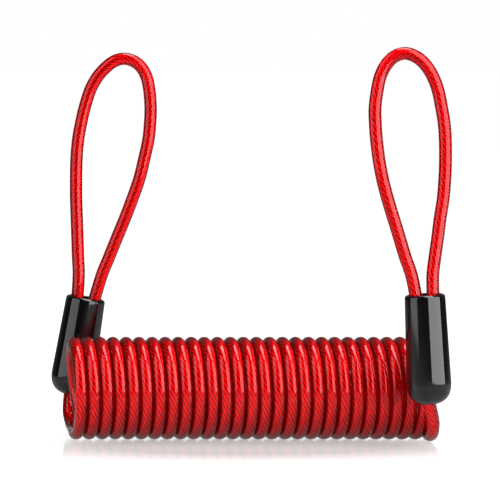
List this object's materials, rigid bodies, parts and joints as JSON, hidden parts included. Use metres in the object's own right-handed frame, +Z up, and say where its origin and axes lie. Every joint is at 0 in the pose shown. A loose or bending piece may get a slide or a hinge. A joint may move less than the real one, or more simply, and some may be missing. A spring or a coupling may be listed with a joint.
{
  "type": "coiled cable tether",
  "caption": "Coiled steel security cable in a clear coloured jacket, with a crimped loop standing up from a domed end sleeve at each end.",
  "frame": {"origin": "centre of the part's box in plan, at the table it rests on", "axes": "+X along the coil from the left end to the right end, +Y away from the viewer, +Z up along the loops"},
  "size_m": [0.1359, 0.0662, 0.1337],
  "materials": {
    "red_jacket": "clear glossy red cable jacket",
    "steel_rope": "twisted steel wire rope",
    "ferrule": "pressed aluminium crimp",
    "black_sleeve": "glossy black moulded plastic"
  },
  "bodies": {
    "coil": {"coil": "red_jacket", "left_lead": "red_jacket"},
    "coil_right_end": {"right_lead": "red_jacket"},
    "left_end": {"left_sleeve": "black_sleeve", "left_ferrule": "ferrule", "left_loop_jacket": "red_jacket", "left_loop_rope": "steel_rope"},
    "right_end": {"right_sleeve": "black_sleeve", "right_ferrule": "ferrule", "right_loop_jacket": "red_jacket", "right_loop_rope": "steel_rope"}
  },
  "joints": [
    {"name": "coil_stretch", "type": "slide", "parent": "coil", "child": "coil_right_end", "axis": [1, 0, 0], "range_m": [0, 1], "stiffness_N_per_m": 3, "deforming": ["coil"]},
    {"name": "left_end_swing", "type": "hinge", "parent": "coil", "child": "left_end", "pos_m": [-0.06036, 0.0256, 0.0198], "axis": [-1, 0, 0], "range_deg": [0, 60], "stiffness_Nm_per_rad": 0.1},
    {"name": "right_end_swing", "type": "hinge", "parent": "coil_right_end", "child": "right_end", "pos_m": [0.06043, -0.0256, 0.02219], "axis": [1, 0, 0], "range_deg": [0, 60], "stiffness_Nm_per_rad": 0.1}
  ]
}
